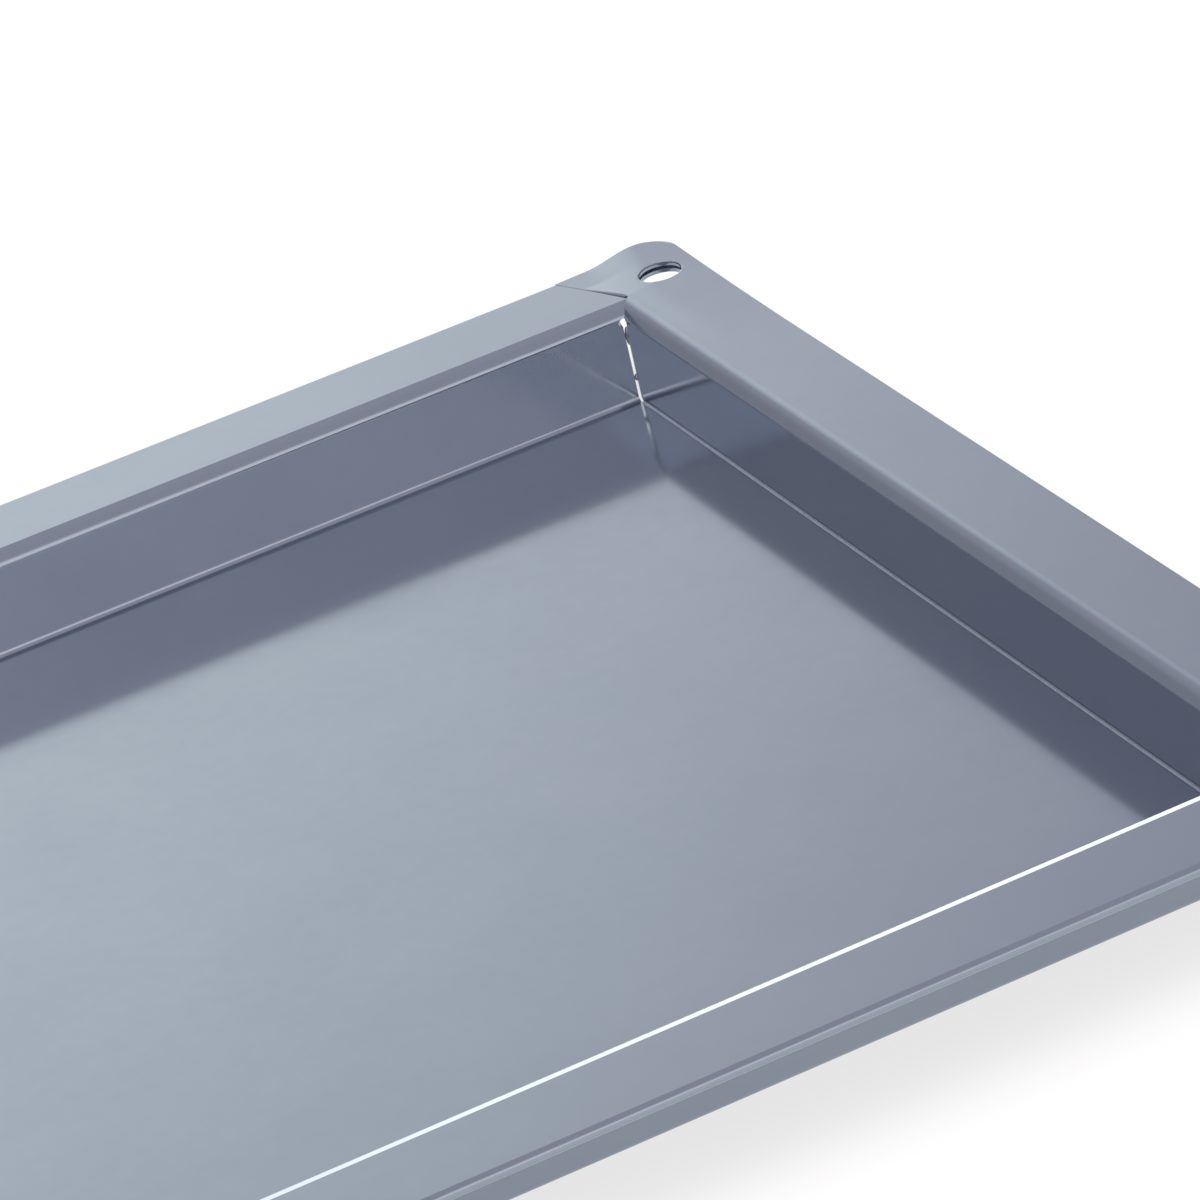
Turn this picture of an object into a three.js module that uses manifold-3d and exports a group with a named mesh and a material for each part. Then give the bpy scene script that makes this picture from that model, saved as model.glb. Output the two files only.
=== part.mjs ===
import * as THREE from 'three';
import { mergeVertices } from 'three/addons/utils/BufferGeometryUtils.js';
import Module from 'manifold-3d';

// Baking tray of folded blued steel sheet, gastronorm size 1/1, in millimetres with +Z up.
// The origin lies under the middle of the floor. X runs along the tray and Y across it.

// Overall sizes
const trayLength = 530;
const trayWidth = 325;
const trayDepth = 20;
const sheet = 0.8;

// Walls: how far each would lean out over the tray's depth
const longWallLean = 0.7;
const endWallLean = 0.7;

// Level rims, and the shoulders that slope from them down to the walls
const longRim = 20.6;
const longShoulderWidth = 3.7;
const longShoulderDrop = 1.3;
const endRim = 18.9;
const endShoulderWidth = 1.9;
const endShoulderDrop = 2.9;

// Bends, by the radius inside the bend, and the wide bends of the end shoulders by their outer ones
const floorBend = 1.2;
const shoulderBend = 0.3;
const endTopBend = 2.2;
const endFootBend = 6;

// Hem folded under the outer edge of each long rim
const hemGap = 0.6;
const hemReturn = 7;
const hemEndGap = 1;

// Ears of the end rims, which lap over the ends of the long rims
const lapGap = 0.1;
const lapReach = 8;
const lapEdge = 0.1;
const lapFade = 0.6;
const rampStart = 1.5;
const rampEndGap = 1.5;
const earLift = 0.6;
const earCorner = 7;
const holeRadius = 4.5;
const holeFromEnd = 8;
const holeFromSide = 16.5;

// Tabs of the long rims under the ears
const tabInset = 1.5;
const tabMargin = 3.5;

// Open corner seams, with a relief hole at the top
const seamGap = 0.4;
const mitreGap = 0.2;
const reliefRadius = 0.9;
const reliefDrop = 3;

// Welds
const weldGap = 0.05;
const tackRadius = 0.65;
const lowerTackHeight = 4.8;
const lowerTackLength = 1.6;
const upperTackHeight = 13.9;
const upperTackLength = 4;
const floorSeamLeg = 0.6;

// Steps in which curves are cut
const bendSteps = 10;
const holeSteps = 48;
const reliefSteps = 16;
const rampSteps = 8;
const earSteps = 6;
const roundSteps = 10;
const tackSides = 14;
const tackDomeSteps = 4;

// Levels and places that follow from the sizes above
const halfLength = trayLength / 2;
const halfWidth = trayWidth / 2;
const floorTop = sheet;
const longRimTop = floorTop + trayDepth;
const endRimTop = longRimTop + lapGap + sheet;
const hemNose = sheet + hemGap / 2;
const hemBottom = longRimTop - 2 * hemNose;
const seamTop = longRimTop - reliefDrop;
const shoulderFaceBend = sheet + shoulderBend;
const longRimEdge = halfWidth - longRim;
const longShoulderFoot = longRimTop - longShoulderDrop;
const longWallAtFoot = longRimEdge - longShoulderWidth;
const longSlope = Math.atan2(longShoulderDrop, longShoulderWidth);
const longRimFlat = longRimEdge + shoulderFaceBend * Math.tan(longSlope / 2);
const endRimEdge = halfLength - endRim;
const endShoulderFoot = endRimTop - endShoulderDrop;
const endWallAtFoot = endRimEdge - endShoulderWidth;
const endSlope = Math.atan2(endShoulderDrop, endShoulderWidth);
const endRimFlat = endRimEdge + endTopBend * Math.tan(endSlope / 2);
const mitreSlope = (longRimFlat - longWallAtFoot) / (endRimFlat - endWallAtFoot);
const earStart = longRimFlat - mitreGap;
const hemEnd = endRimFlat - lapReach - hemEndGap;
const holeX = halfLength - holeFromEnd;
const holeY = halfWidth - holeFromSide;
const beyond = trayDepth;

const steelBlue = { color: 0x9ea8b4, roughness: 0.16, metalness: 1 };
const weldGrey = { color: 0xb4bac2, roughness: 0.3, metalness: 1 };

const wasm = await Module();
wasm.setup();

// Distance of a long wall's inner face from the tray's middle at a height
function longWallAt(z) {
  return longWallAtFoot - longWallLean * (longShoulderFoot - z) / trayDepth;
}

// Distance of an end wall's inner face from the tray's middle at a height
function endWallAt(z) {
  return endWallAtFoot - endWallLean * (endShoulderFoot - z) / trayDepth;
}

// Distance from the tray's middle at which a corner's mitre, seen from above, passes an X place
function mitreAt(x) {
  return longWallAtFoot + mitreSlope * (x - endWallAtFoot);
}

// Closed solid from a geometry, for cutting and joining
function toSolid(geometry) {
  const bare = geometry.clone();
  bare.deleteAttribute('normal');
  bare.deleteAttribute('uv');
  const merged = mergeVertices(bare, 1e-4);
  const vertProperties = Float32Array.from(merged.attributes.position.array);
  const triVerts = Uint32Array.from(merged.index.array);
  return new wasm.Manifold(new wasm.Mesh({ numProp: 3, vertProperties, triVerts }));
}

// Geometry from a closed solid
function toGeometry(solid) {
  const mesh = solid.getMesh();
  const geometry = new THREE.BufferGeometry();
  geometry.setAttribute('position', new THREE.BufferAttribute(mesh.vertProperties, 3));
  geometry.setIndex(new THREE.BufferAttribute(mesh.triVerts, 1));
  geometry.computeVertexNormals();
  return geometry;
}

// Shape through a list of [a, b] points
function shapeOf(points) {
  return new THREE.Shape(points.map(([a, b]) => new THREE.Vector2(a, b)));
}

// Prism of a (Y, Z) shape between two X places
function prismAlongX(shape, fromX, toX) {
  const geometry = new THREE.ExtrudeGeometry(shape, { depth: toX - fromX, bevelEnabled: false });
  const basis = new THREE.Matrix4().makeBasis(
    new THREE.Vector3(0, 1, 0), new THREE.Vector3(0, 0, 1), new THREE.Vector3(1, 0, 0));
  return geometry.applyMatrix4(basis).translate(fromX, 0, 0);
}

// Prism of an (X, Z) shape between two Y places
function prismAlongY(shape, fromY, toY) {
  const geometry = new THREE.ExtrudeGeometry(shape, { depth: toY - fromY, bevelEnabled: false });
  return geometry.rotateX(Math.PI / 2).translate(0, toY, 0);
}

// Prism of a plan (X, Y) shape between two heights
function prismAlongZ(shape, fromZ, toZ) {
  const geometry = new THREE.ExtrudeGeometry(shape, { depth: toZ - fromZ, bevelEnabled: false });
  return geometry.translate(0, 0, fromZ);
}

// Outline of a bent sheet: a path whose corners are bent to given radii, and the same path one thickness
// to its right
function bentSheet(corners, radii, thickness) {
  const face = [];
  const back = [];
  const put = (point, normal) => {
    face.push([point.x, point.y]);
    back.push([point.x + normal.x * thickness, point.y + normal.y * thickness]);
  };
  const points = corners.map(([a, b]) => new THREE.Vector2(a, b));
  const along = (i) => points[i + 1].clone().sub(points[i]).normalize();
  const rightOf = (way) => new THREE.Vector2(way.y, -way.x);
  put(points[0], rightOf(along(0)));
  for (let i = 1; i < points.length - 1; i += 1) {
    const arriving = along(i - 1);
    const leaving = along(i);
    const turn = Math.atan2(arriving.cross(leaving), arriving.dot(leaving));
    const side = Math.sign(turn);
    const radius = radii[i - 1];
    const start = points[i].clone().addScaledVector(arriving, -radius * Math.tan(Math.abs(turn) / 2));
    const centre = start.clone().addScaledVector(rightOf(arriving), -side * radius);
    const steps = Math.ceil(Math.abs(turn) / (Math.PI / 2) * bendSteps);
    for (let step = 0; step <= steps; step += 1) {
      const normal = rightOf(arriving).rotateAround(new THREE.Vector2(), turn * step / steps);
      put(centre.clone().addScaledVector(normal, side * radius), normal);
    }
  }
  put(points.at(-1), rightOf(along(points.length - 2)));
  return shapeOf([...face, ...back.reverse()]);
}

// Solid through a row of loops, all with the same count of [x, y, z] points
function loft(loops) {
  const count = loops[0].length;
  const triangles = [];
  for (let row = 0; row < loops.length - 1; row += 1) {
    for (let i = 0; i < count; i += 1) {
      const next = (i + 1) % count;
      const a = row * count + i;
      const b = row * count + next;
      triangles.push(a, b, a + count, b, b + count, a + count);
    }
  }
  const last = (loops.length - 1) * count;
  const half = count / 2;
  for (let i = 0; i < half - 1; i += 1) {
    const across = count - 1 - i;
    triangles.push(i, across, i + 1, i + 1, across, across - 1);
    triangles.push(last + i, last + i + 1, last + across, last + i + 1, last + across - 1, last + across);
  }
  const geometry = new THREE.BufferGeometry();
  geometry.setAttribute('position', new THREE.Float32BufferAttribute(loops.flat(2), 3));
  geometry.setIndex(triangles);
  return geometry;
}

// The same form at the right-hand end and, turned half round, at the left-hand end, as two solids
function atBothEnds(geometry) {
  return [toSolid(geometry), toSolid(geometry.clone().rotateZ(Math.PI))];
}

// Drill for the hanging hole through an ear and the tab under it (side is +1 at the back, -1 at the front)
function hangingHole(side) {
  const drill = new THREE.CylinderGeometry(holeRadius, holeRadius, 2 * trayDepth, holeSteps);
  return drill.rotateX(Math.PI / 2).translate(holeX, side * holeY, longRimTop);
}

// Drill for the relief hole at the top of a corner seam, along the corner's diagonal
function reliefHole(side) {
  const drillLength = 4 * (reliefRadius + sheet);
  const drill = new THREE.CylinderGeometry(reliefRadius, reliefRadius, drillLength, reliefSteps);
  drill.rotateZ(-Math.PI / 2).rotateZ(side * Math.PI / 4);
  return drill.translate(endWallAt(seamTop), side * longWallAt(seamTop), seamTop);
}

// Tab at the end of a long rim, flat under the ear, with its outer corner inside the ear's
function rimTab(side) {
  const startX = hemEnd - hemEndGap;
  const endX = halfLength - tabInset;
  const outerY = halfWidth - tabInset;
  const innerY = holeY - holeRadius - tabMargin;
  const cornerX = endRimFlat + shoulderFaceBend;
  const plan = new THREE.Shape();
  plan.moveTo(startX, longRimFlat);
  plan.lineTo(cornerX, longRimFlat);
  plan.lineTo(cornerX, innerY);
  plan.lineTo(endX, innerY);
  plan.lineTo(endX, outerY - earCorner);
  plan.absarc(endX - earCorner, outerY - earCorner, earCorner, 0, Math.PI / 2, false);
  plan.lineTo(startX, outerY);
  const points = plan.extractPoints(roundSteps).shape.map((point) => [point.x, side * point.y]);
  return prismAlongZ(shapeOf(points), longRimTop - sheet, longRimTop);
}

// Cutter that ends the pan sheet square below the relief holes, one seam gap short of the end wall
function squareEnd() {
  const outside = halfLength + beyond;
  const section = shapeOf([
    [endWallAt(-beyond) - seamGap, -beyond],
    [outside, -beyond],
    [outside, seamTop],
    [endWallAt(seamTop) - seamGap, seamTop],
  ]);
  return prismAlongY(section, -halfWidth - beyond, halfWidth + beyond);
}

// Cutter that mitres the pan sheet's shoulders above the relief holes and ends its hems short of the ears
function mitredEnd() {
  const start = endWallAt(floorTop);
  const edge = [
    [start, mitreAt(start)],
    [endRimFlat, longRimFlat],
    [hemEnd, longRimFlat],
    [hemEnd, halfWidth + beyond],
    [halfLength + beyond, halfWidth + beyond],
  ];
  const plan = shapeOf([...edge.map(([x, y]) => [x, -y]), ...edge.toReversed()]);
  return prismAlongZ(plan, seamTop, longRimTop + beyond);
}

// Floor, long walls, shoulders, long rims, hems and tabs, folded from one sheet
function panSheet() {
  const half = [
    [longWallAt(floorTop), floorTop],
    [longWallAtFoot, longShoulderFoot],
    [longRimEdge, longRimTop],
    [halfWidth, longRimTop],
    [halfWidth, hemBottom],
    [halfWidth - hemNose - hemReturn, hemBottom],
  ];
  const mirrored = half.map(([y, z]) => [-y, z]).toReversed();
  const bends = [floorBend, shoulderFaceBend, shoulderFaceBend, hemNose, hemNose];
  const profile = bentSheet([...mirrored, ...half], [...bends.toReversed(), ...bends], sheet);
  let solid = toSolid(prismAlongX(profile, -halfLength, halfLength));
  for (const cutter of [squareEnd(), mitredEnd()].flatMap(atBothEnds)) {
    solid = solid.subtract(cutter);
  }
  for (const tab of [rimTab(1), rimTab(-1)].flatMap(atBothEnds)) {
    solid = solid.add(tab);
  }
  const drills = [hangingHole(1), hangingHole(-1), reliefHole(1), reliefHole(-1)];
  for (const drill of drills.flatMap(atBothEnds)) {
    solid = solid.subtract(drill);
  }
  return toGeometry(solid);
}

// Outer end of an ear at a distance from the tray's middle, round at its corner
function earEndAt(y) {
  const past = Math.max(0, y - (halfWidth - earCorner));
  return halfLength - earCorner + Math.sqrt(Math.max(0, earCorner ** 2 - past ** 2));
}

// Section of an ear along the tray's length: its lap edge ramps down to the long rim towards the outer side
function earSection(y, side) {
  const share = Math.max(0, (y - earStart) / (halfWidth - earStart));
  const lapX = endRimFlat - lapReach * share;
  const levelX = THREE.MathUtils.lerp(endRimFlat + rampStart, halfLength - earCorner - rampEndGap, share);
  const top = endRimTop + earLift * share;
  const rest = longRimTop + lapGap;
  const drop = (top - rest - lapEdge) * Math.min(1, share / lapFade);
  const upper = [];
  const lower = [];
  for (let step = 0; step <= rampSteps; step += 1) {
    const x = THREE.MathUtils.lerp(lapX, levelX, step / rampSteps);
    const z = top - drop * (1 - THREE.MathUtils.smoothstep(step, 0, rampSteps));
    upper.push([x, side * y, z]);
    lower.push([x, side * y, Math.max(rest, z - sheet)]);
  }
  upper.push([earEndAt(y), side * y, top]);
  lower.push([earEndAt(y), side * y, top - sheet]);
  return [...upper, ...lower.toReversed()];
}

// Ear of the right-hand end rim, lifting a little towards its outer side
function ear(side) {
  const rows = [earStart - shoulderFaceBend];
  const roundStart = halfWidth - earCorner;
  for (let step = 0; step < earSteps; step += 1) {
    rows.push(THREE.MathUtils.lerp(earStart, roundStart, step / earSteps));
  }
  for (let step = 0; step <= roundSteps; step += 1) {
    rows.push(roundStart + earCorner * Math.sin(Math.PI / 2 * step / roundSteps));
  }
  const sections = rows.map((y) => earSection(y, side));
  return loft(side > 0 ? sections : sections.toReversed());
}

// Cutter that shapes the end wall below the relief holes: its sides follow the long walls, its foot is round
function wallSides() {
  const sideAt = (z) => longWallAt(z) - seamGap;
  const outside = halfWidth + beyond;
  const round = floorBend + sheet;
  const section = new THREE.Shape();
  section.moveTo(-outside, -beyond);
  section.lineTo(outside, -beyond);
  section.lineTo(outside, seamTop);
  section.lineTo(sideAt(seamTop), seamTop);
  section.lineTo(sideAt(round), round);
  section.quadraticCurveTo(sideAt(0), 0, sideAt(0) - round, 0);
  section.lineTo(round - sideAt(0), 0);
  section.quadraticCurveTo(-sideAt(0), 0, -sideAt(round), round);
  section.lineTo(-sideAt(seamTop), seamTop);
  section.lineTo(-outside, seamTop);
  const points = section.extractPoints(bendSteps).shape.map((point) => [point.x, point.y]);
  return prismAlongX(shapeOf(points), 0, halfLength + beyond);
}

// Cutter that mitres the end panel's shoulder above a relief hole
function shoulderMitre(side) {
  const start = endWallAt(floorTop);
  const outside = halfWidth + beyond;
  const plan = shapeOf([
    [start, side * (mitreAt(start) - mitreGap)],
    [endRimFlat, side * earStart],
    [endRimFlat, side * outside],
    [start, side * outside],
  ]);
  return prismAlongZ(plan, seamTop, endRimTop + beyond);
}

// Right-hand end wall with its shoulder, rim and two ears
function endPanel() {
  const corners = [
    [endWallAt(0), 0],
    [endWallAtFoot, endShoulderFoot],
    [endRimEdge, endRimTop],
    [halfLength, endRimTop],
  ];
  const profile = bentSheet(corners, [endFootBend, endTopBend], sheet);
  let solid = toSolid(prismAlongY(profile, -earStart, earStart));
  for (const cutter of [wallSides(), shoulderMitre(1), shoulderMitre(-1)]) {
    solid = solid.subtract(toSolid(cutter));
  }
  for (const side of [1, -1]) {
    solid = solid.add(toSolid(ear(side)));
    solid = solid.subtract(toSolid(hangingHole(side))).subtract(toSolid(reliefHole(side)));
  }
  return toGeometry(solid);
}

// Hollow bead along the foot of the right-hand end wall, which joins it to the floor
function floorSeam() {
  const bottom = floorTop + weldGap;
  const wallAt = (z) => endWallAt(z) - weldGap;
  const halfRun = longWallAt(floorTop) - floorBend - seamGap;
  const section = new THREE.Shape();
  section.moveTo(wallAt(bottom) - floorSeamLeg, bottom);
  section.lineTo(wallAt(bottom), bottom);
  section.lineTo(wallAt(bottom + floorSeamLeg), bottom + floorSeamLeg);
  section.quadraticCurveTo(wallAt(bottom), bottom, wallAt(bottom) - floorSeamLeg, bottom);
  return prismAlongY(section, -halfRun, halfRun);
}

// Weld tack in a corner's seam: a short round bead with domed ends, standing along Z on its middle
function tack(length) {
  const straight = length / 2 - tackRadius;
  const profile = [];
  for (const end of [-1, 1]) {
    for (let step = 0; step <= tackDomeSteps; step += 1) {
      const turn = Math.PI / 2 * (end < 0 ? 1 - step / tackDomeSteps : step / tackDomeSteps);
      const rise = straight + tackRadius * Math.sin(turn);
      profile.push(new THREE.Vector2(tackRadius * Math.cos(turn), end * rise));
    }
  }
  profile[0].x = 0;
  profile.at(-1).x = 0;
  return new THREE.LatheGeometry(profile, tackSides).rotateX(Math.PI / 2);
}

// Mesh of a piece with its name and finish
function piece(name, geometry, finish) {
  const mesh = new THREE.Mesh(geometry, new THREE.MeshStandardMaterial(finish));
  mesh.name = name;
  return mesh;
}

// End panel, floor seam and tacks of one end, laid out for the right-hand end
function endAssembly(end, sideNames) {
  const group = new THREE.Group();
  group.add(piece(`end_panel_${end}`, endPanel(), steelBlue));
  group.add(piece(`floor_seam_${end}`, floorSeam(), weldGrey));
  const inset = tackRadius + weldGap - seamGap;
  const levels = {
    lower: [lowerTackHeight, lowerTackLength],
    upper: [upperTackHeight, upperTackLength],
  };
  for (const [level, [height, length]] of Object.entries(levels)) {
    for (const [sideName, side] of Object.entries(sideNames)) {
      const z = floorTop + height;
      const mesh = piece(`corner_tack_${sideName}_${end}_${level}`, tack(length), weldGrey);
      mesh.position.set(endWallAt(z) + inset, side * (longWallAt(z) + inset), z);
      const lean = new THREE.Vector3(endWallLean, side * longWallLean, trayDepth).normalize();
      mesh.quaternion.setFromUnitVectors(new THREE.Vector3(0, 0, 1), lean);
      group.add(mesh);
    }
  }
  return group;
}

const tray = new THREE.Group();
tray.add(piece('pan_sheet', panSheet(), steelBlue));
tray.add(endAssembly('right', { back: 1, front: -1 }));
const leftEnd = endAssembly('left', { front: 1, back: -1 });
leftEnd.rotation.z = Math.PI;
tray.add(leftEnd);

export default tray;
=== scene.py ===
"""Looks of a gastronorm baking tray of folded blued steel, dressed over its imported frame."""

import logging
import math
from collections.abc import Callable
from dataclasses import dataclass, field
from enum import Enum

import bmesh
import bpy
from mathutils import Matrix, Vector


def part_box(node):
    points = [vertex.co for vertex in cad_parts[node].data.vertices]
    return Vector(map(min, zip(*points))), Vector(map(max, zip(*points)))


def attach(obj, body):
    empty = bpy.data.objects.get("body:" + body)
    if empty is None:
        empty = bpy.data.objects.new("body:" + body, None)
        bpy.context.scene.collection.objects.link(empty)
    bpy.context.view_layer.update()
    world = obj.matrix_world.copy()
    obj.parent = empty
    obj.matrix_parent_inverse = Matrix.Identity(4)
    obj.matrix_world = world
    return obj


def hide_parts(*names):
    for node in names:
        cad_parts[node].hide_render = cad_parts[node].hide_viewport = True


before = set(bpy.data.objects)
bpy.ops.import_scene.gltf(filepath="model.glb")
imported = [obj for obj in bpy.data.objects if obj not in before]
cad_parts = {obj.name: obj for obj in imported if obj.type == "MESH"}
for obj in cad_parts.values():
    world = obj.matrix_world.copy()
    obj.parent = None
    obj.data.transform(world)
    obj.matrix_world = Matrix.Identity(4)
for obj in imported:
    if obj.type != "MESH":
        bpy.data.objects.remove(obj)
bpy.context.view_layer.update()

Pair = tuple[float, float]
Triple = tuple[float, float, float]
PlaceTest = Callable[[list[Vector]], bool]
Socket = bpy.types.NodeSocket

LOG = logging.getLogger("baking_tray")
MM = 0.001
TOUCH = 0.01 * MM  # Places closer than this count as one.
CUT_SNAP = 1e-7  # A cut takes a corner that is this near.
MERGE_REACH = 1e-6  # Doubles closer than this are merged.
LEVEL_SHARE = 0.999  # Least upright share of a level face's normal.
BREAK_ANGLE = math.radians(40)  # Edges sharper than this are broken.
SMOOTH_ANGLE = math.radians(32)  # Edges blunter than this are shaded smooth.
EDGE_WIDTH = 0.12 * MM
HOLE_SIDES = 96
RELIEF_SIDES = 32
BODY = "root"


class Grain(Enum):
    """Way in which a sheet was rolled, as the tray's long or short direction."""

    ALONG = "along"
    ACROSS = "across"


class End(Enum):
    """End of the tray, as the sign of its X."""

    RIGHT = 1
    LEFT = -1


class Side(Enum):
    """Long side of the tray, as the sign of its Y."""

    BACK = 1
    FRONT = -1


@dataclass(frozen=True)
class TraySizes:
    """Sizes of the folded sheets in metres: the solids' own, with finer bends and a pressed lap."""

    half_length: float
    half_width: float
    sheet: float = 0.8 * MM
    depth: float = 20 * MM
    long_wall_lean: float = 0.7 * MM
    end_wall_lean: float = 0.7 * MM
    long_rim: float = 20.6 * MM
    end_rim: float = 18.9 * MM
    shoulder_width: float = 3.7 * MM
    shoulder_drop: float = 0.72 * MM
    end_shoulder_width: float = 1.9 * MM
    end_shoulder_drop: float = 2.9 * MM
    floor_bend: float = 1.2 * MM
    shoulder_top_bend: float = 1.1 * MM
    shoulder_foot_bend: float = 2.3 * MM
    end_top_bend: float = 3 * MM
    end_foot_bend: float = 1 * MM
    hem_gap: float = 0.6 * MM
    hem_return: float = 7 * MM
    hem_end_gap: float = 1 * MM
    lap_gap: float = 0.02 * MM
    lap_reach: float = 8 * MM
    lap_fade: float = 0.6
    lap_edge: float = 0.02 * MM
    lap_round: float = 0.7 * MM
    lap_sink: float = 0.32 * MM
    tip_inset: float = 0.6 * MM
    ramp_start: float = 6 * MM
    ear_lift: float = 1 * MM
    lift_run: float = 45 * MM
    flush_share: float = 0.4
    ear_corner: float = 7 * MM
    hole_radius: float = 4.5 * MM
    hole_from_end: float = 8 * MM
    hole_from_side: float = 16.5 * MM
    tab_inset: float = 1.5 * MM
    tab_margin: float = 3.5 * MM
    seam_gap: float = 0.4 * MM
    mitre_gap: float = 0.06 * MM
    relief_radius: float = 0.9 * MM
    relief_drop: float = 3 * MM

    @classmethod
    def from_frame(cls) -> "TraySizes":
        """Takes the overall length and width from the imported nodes."""
        return cls(
            half_length=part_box("end_panel_right")[1].x,
            half_width=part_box("pan_sheet")[1].y,
        )

    @property
    def floor_top(self) -> float:
        """Height of the floor's upper face."""
        return self.sheet

    @property
    def long_rim_top(self) -> float:
        """Height of the long rims' upper faces."""
        return self.floor_top + self.depth

    @property
    def lap_rest(self) -> float:
        """Height at which the ears' lap edges lie on the long rims."""
        return self.long_rim_top + self.lap_gap

    @property
    def end_rim_top(self) -> float:
        """Height of the end rims' upper faces, with the lap pressed down."""
        return self.lap_rest + self.sheet - self.lap_sink

    @property
    def hem_nose(self) -> float:
        """Outer radius of the hem's fold."""
        return self.sheet + self.hem_gap / 2

    @property
    def mitre_foot(self) -> Vector:
        """Lower end of a corner's mitre, seen from above."""
        return Vector((
            self.end_wall_at(self.end_shoulder_foot), self.long_wall_at(self.shoulder_foot), 0))

    @property
    def mitre_head(self) -> Vector:
        """Upper end of a corner's mitre, seen from above."""
        return Vector((self.end_rim_start, self.long_rim_start, 0))

    def mitre_across(self, lap: float) -> Vector:
        """Gives the level way square to a corner's mitre, towards the end panel.

        Args:
            lap: How far the mitre's lower end is shifted along the tray.

        Returns:
            The way, one unit long.
        """
        along = self.mitre_head - self.mitre_foot - Vector((lap, 0, 0))
        return Vector((along.y, -along.x, 0)).normalized()

    @property
    def end_shoulder_foot(self) -> float:
        """Height at which the end walls meet the shoulders inside their rims."""
        return self.end_rim_top - self.end_shoulder_drop

    @property
    def end_slope(self) -> float:
        """Angle of the end shoulders from level."""
        return math.atan(self.end_shoulder_drop / self.end_shoulder_width)

    @property
    def end_rim_start(self) -> float:
        """Distance from the middle at which the end rims become level."""
        top = self.half_length - self.end_rim
        return top + tangent(self.end_top_bend, self.end_slope)

    @property
    def shoulder_foot(self) -> float:
        """Height at which the long walls meet the shoulders inside their rims."""
        return self.long_rim_top - self.shoulder_drop

    @property
    def shoulder_slope(self) -> float:
        """Angle of the shoulders from level."""
        return math.atan(self.shoulder_drop / self.shoulder_width)

    @property
    def long_lean(self) -> float:
        """Angle of the long walls from upright."""
        return math.atan(self.long_wall_lean / self.depth)

    @property
    def end_lean(self) -> float:
        """Angle of the end walls from upright."""
        return math.atan(self.end_wall_lean / self.depth)

    @property
    def long_rim_start(self) -> float:
        """Distance from the middle at which the long rims become level."""
        top = self.half_width - self.long_rim
        return top + tangent(self.shoulder_top_bend, self.shoulder_slope)

    @property
    def hole_centre(self) -> Vector:
        """Middle of the hanging hole at the right-hand back corner."""
        return Vector((
            self.half_length - self.hole_from_end,
            self.half_width - self.hole_from_side,
            self.long_rim_top,
        ))

    @property
    def relief_height(self) -> float:
        """Height of the relief holes' middles."""
        return self.long_rim_top - self.relief_drop

    def behind_lap(self, spot: Vector) -> float:
        """Distance of a place from the nearest ear's lap line, along the tray towards its end."""
        share = (abs(spot.y) - self.long_rim_start) / (self.half_width - self.long_rim_start)
        return abs(spot.x) - (self.end_rim_start - self.lap_reach * share)

    def long_wall_at(self, height: float) -> float:
        """Distance of a long wall's inner face from the tray's middle at a height."""
        share = (self.shoulder_foot - height) / self.depth
        top = self.half_width - self.long_rim - self.shoulder_width
        return top - self.long_wall_lean * share

    def end_wall_at(self, height: float) -> float:
        """Distance of an end wall's inner face from the tray's middle at a height."""
        share = (self.end_shoulder_foot - height) / self.depth
        top = self.half_length - self.end_rim - self.end_shoulder_width
        return top - self.end_wall_lean * share


def tangent(radius: float, turn: float) -> float:
    """Gives the distance from a bend's sharp corner to where its curve begins.

    Args:
        radius: Radius of the curve.
        turn: Angle through which the sheet turns.

    Returns:
        The distance.
    """
    return radius * math.tan(turn / 2)


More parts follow.
